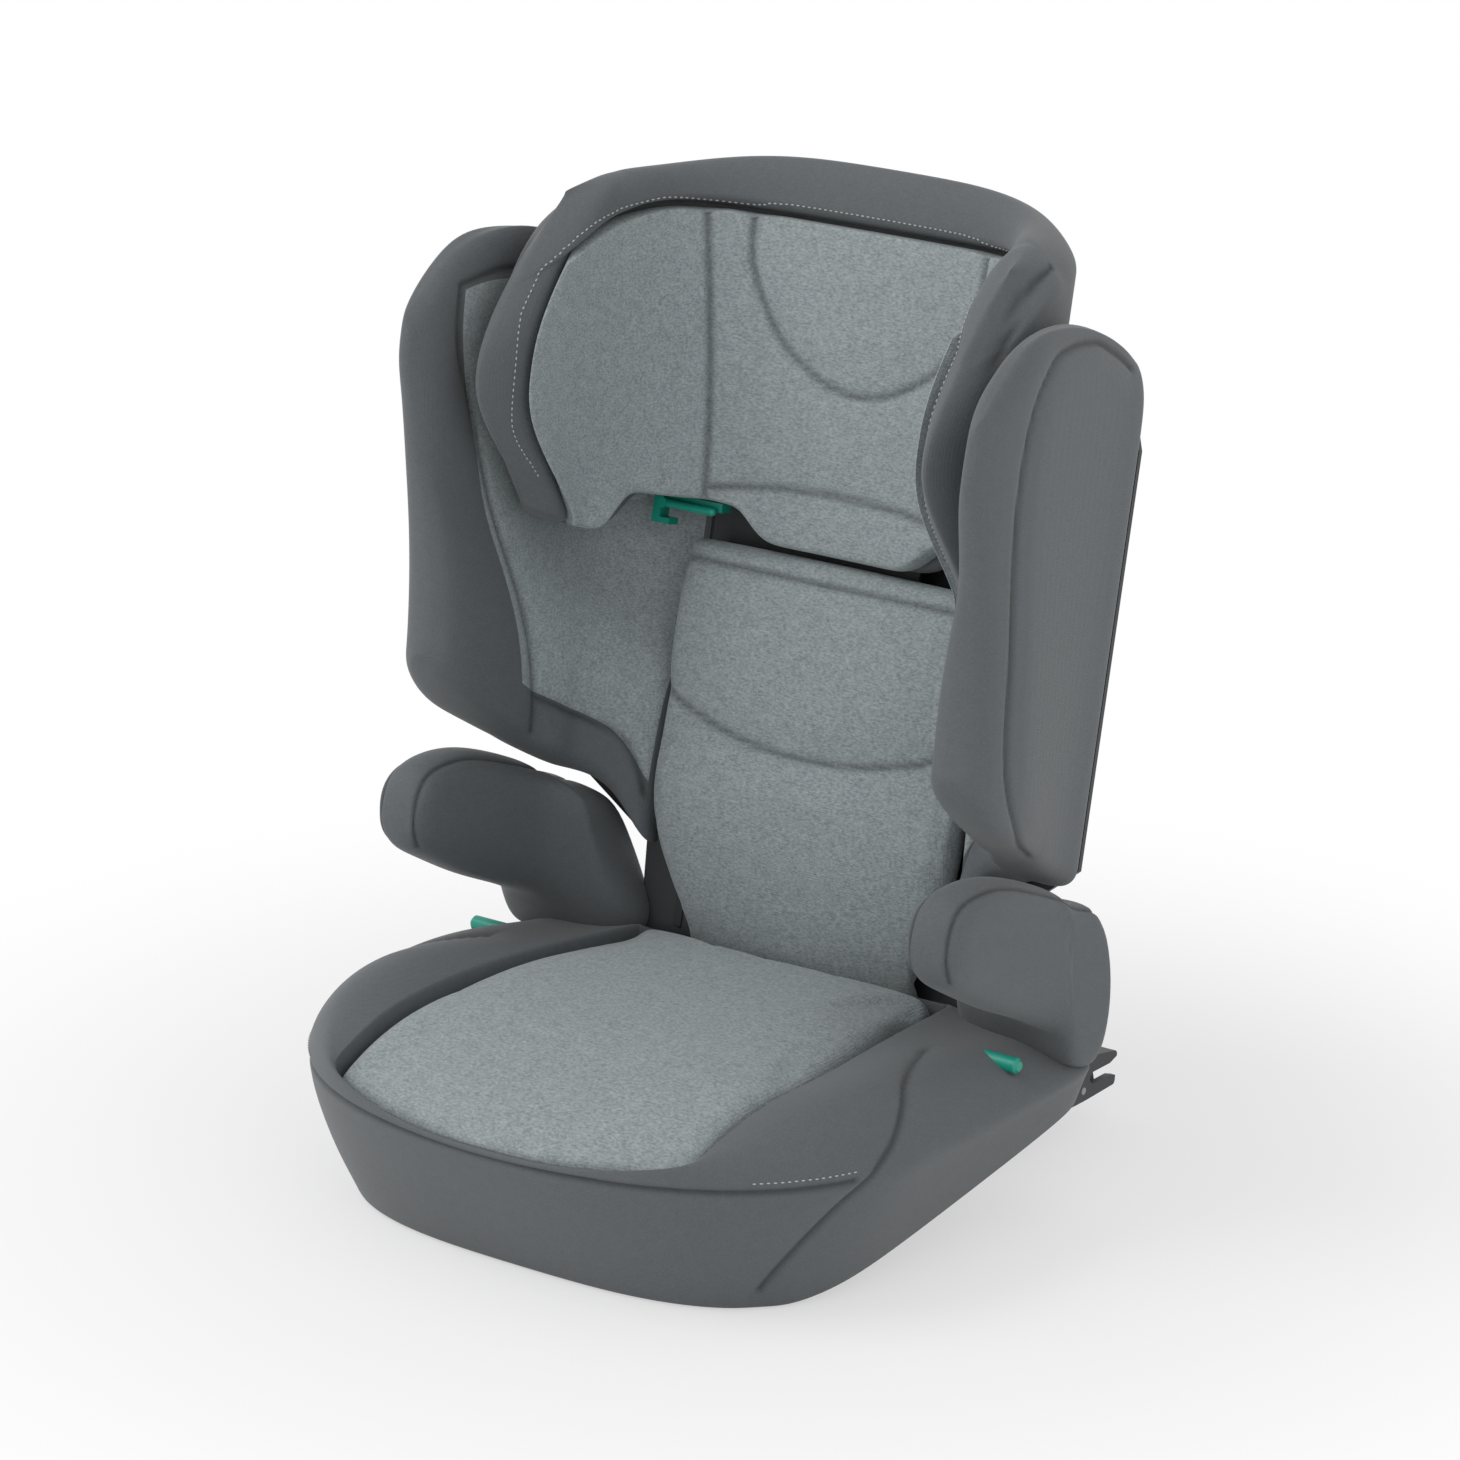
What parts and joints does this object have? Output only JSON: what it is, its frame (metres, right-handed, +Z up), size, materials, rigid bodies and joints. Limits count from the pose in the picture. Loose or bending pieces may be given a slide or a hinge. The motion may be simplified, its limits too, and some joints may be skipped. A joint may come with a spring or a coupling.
{
  "type": "high-back booster seat",
  "caption": "High-back child booster seat: padded base with armrests, winged backrest, height-adjustable headrest and rear anchor-bar connectors.",
  "frame": {"origin": "on the floor, in the middle plane, under the middle of the base", "axes": "+X across the seat to the right as seen from the front, +Y to the rear, +Z up"},
  "size_m": [0.452, 0.471, 0.6121],
  "materials": {
    "slate_fabric": "smooth knit",
    "melange_fabric": "heathered",
    "shell_plastic": "fine texture",
    "teal_plastic": "satin",
    "steel": "zinc plated",
    "rubber": "matt"
  },
  "bodies": {
    "base": {"base_shell": "shell_plastic", "keel": "shell_plastic", "base_cover": "slate_fabric", "seat_cushion": "melange_fabric", "arm_left": "slate_fabric", "arm_right": "slate_fabric", "lap_guide_left": "teal_plastic", "lap_guide_right": "teal_plastic", "rubber_strips": "rubber", "rail_channels": "steel", "hinge_brackets": "shell_plastic", "hinge_pins": "steel"},
    "backrest": {"back_shell": "shell_plastic", "back_cushion": "melange_fabric", "wing_left": "slate_fabric", "wing_right": "slate_fabric", "guide_rails": "steel", "height_rack": "shell_plastic", "shell_screws": "steel"},
    "headrest": {"head_shell": "shell_plastic", "head_bolster": "slate_fabric", "head_cushion": "melange_fabric", "head_carriage": "shell_plastic", "belt_hook_left": "teal_plastic", "belt_hook_right": "teal_plastic"},
    "lever": {"head_lever": "shell_plastic"},
    "lock": {"lock_bar": "steel"},
    "gate_left": {"belt_gate_left": "teal_plastic"},
    "gate_right": {"belt_gate_right": "teal_plastic"},
    "connectors": {"connector_frame": "steel", "connector_left": "shell_plastic", "connector_right": "shell_plastic"},
    "jaw_left": {"jaw_left": "steel"},
    "jaw_right": {"jaw_right": "steel"},
    "button_left": {"release_button_left": "teal_plastic"},
    "button_right": {"release_button_right": "teal_plastic"},
    "frame_handle": {"frame_release": "shell_plastic"}
  },
  "joints": [
    {"name": "back_recline", "type": "hinge", "parent": "base", "child": "backrest", "pos_m": [0, 0.092, 0.084], "axis": [-1, 0, 0], "range_deg": [0, 15]},
    {"name": "headrest_slide", "type": "slide", "parent": "backrest", "child": "headrest", "axis": [0, 0.225, 0.9744], "range_m": [0, 0.18]},
    {"name": "lever_hinge", "type": "hinge", "parent": "headrest", "child": "lever", "pos_m": [0, 0.17067, 0.57475], "axis": [1, 0, 0], "range_deg": [0, 14], "stiffness_Nm_per_rad": 0.5},
    {"name": "lock_slide", "type": "slide", "parent": "headrest", "child": "lock", "axis": [0, -0.9744, 0.225], "range_m": [0, 0.0035]},
    {"name": "gate_left_hinge", "type": "hinge", "parent": "headrest", "child": "gate_left", "pos_m": [-0.134, 0.0975, 0.38402], "axis": [0, 0.9744, -0.225], "range_deg": [0, 35], "stiffness_Nm_per_rad": 0.05},
    {"name": "gate_right_hinge", "type": "hinge", "parent": "headrest", "child": "gate_right", "pos_m": [0.134, 0.0975, 0.38402], "axis": [0, -0.9744, 0.225], "range_deg": [0, 35], "stiffness_Nm_per_rad": 0.05},
    {"name": "connector_slide", "type": "slide", "parent": "base", "child": "connectors", "axis": [0, 1, 0], "range_m": [-0.05, 0.03]},
    {"name": "jaw_left_hinge", "type": "hinge", "parent": "connectors", "child": "jaw_left", "pos_m": [-0.14, 0.161, 0.027], "axis": [-1, 0, 0], "range_deg": [0, 38], "stiffness_Nm_per_rad": 0.1},
    {"name": "jaw_right_hinge", "type": "hinge", "parent": "connectors", "child": "jaw_right", "pos_m": [0.14, 0.161, 0.027], "axis": [-1, 0, 0], "range_deg": [0, 38], "stiffness_Nm_per_rad": 0.1},
    {"name": "button_left_slide", "type": "slide", "parent": "connectors", "child": "button_left", "axis": [0, -1, 0], "range_m": [0, 0.007]},
    {"name": "button_right_slide", "type": "slide", "parent": "connectors", "child": "button_right", "axis": [0, -1, 0], "range_m": [0, 0.007]},
    {"name": "handle_pull", "type": "slide", "parent": "base", "child": "frame_handle", "axis": [0, -1, 0], "range_m": [0, 0.008], "stiffness_N_per_m": 300}
  ],
  "couplings": [
    {"joint": "lock_slide", "follows": "lever_hinge", "m_per_rad": 0.0143},
    {"joint": "button_left_slide", "follows": "jaw_left_hinge", "m_per_rad": 0.01055},
    {"joint": "button_right_slide", "follows": "jaw_right_hinge", "m_per_rad": 0.01055}
  ]
}
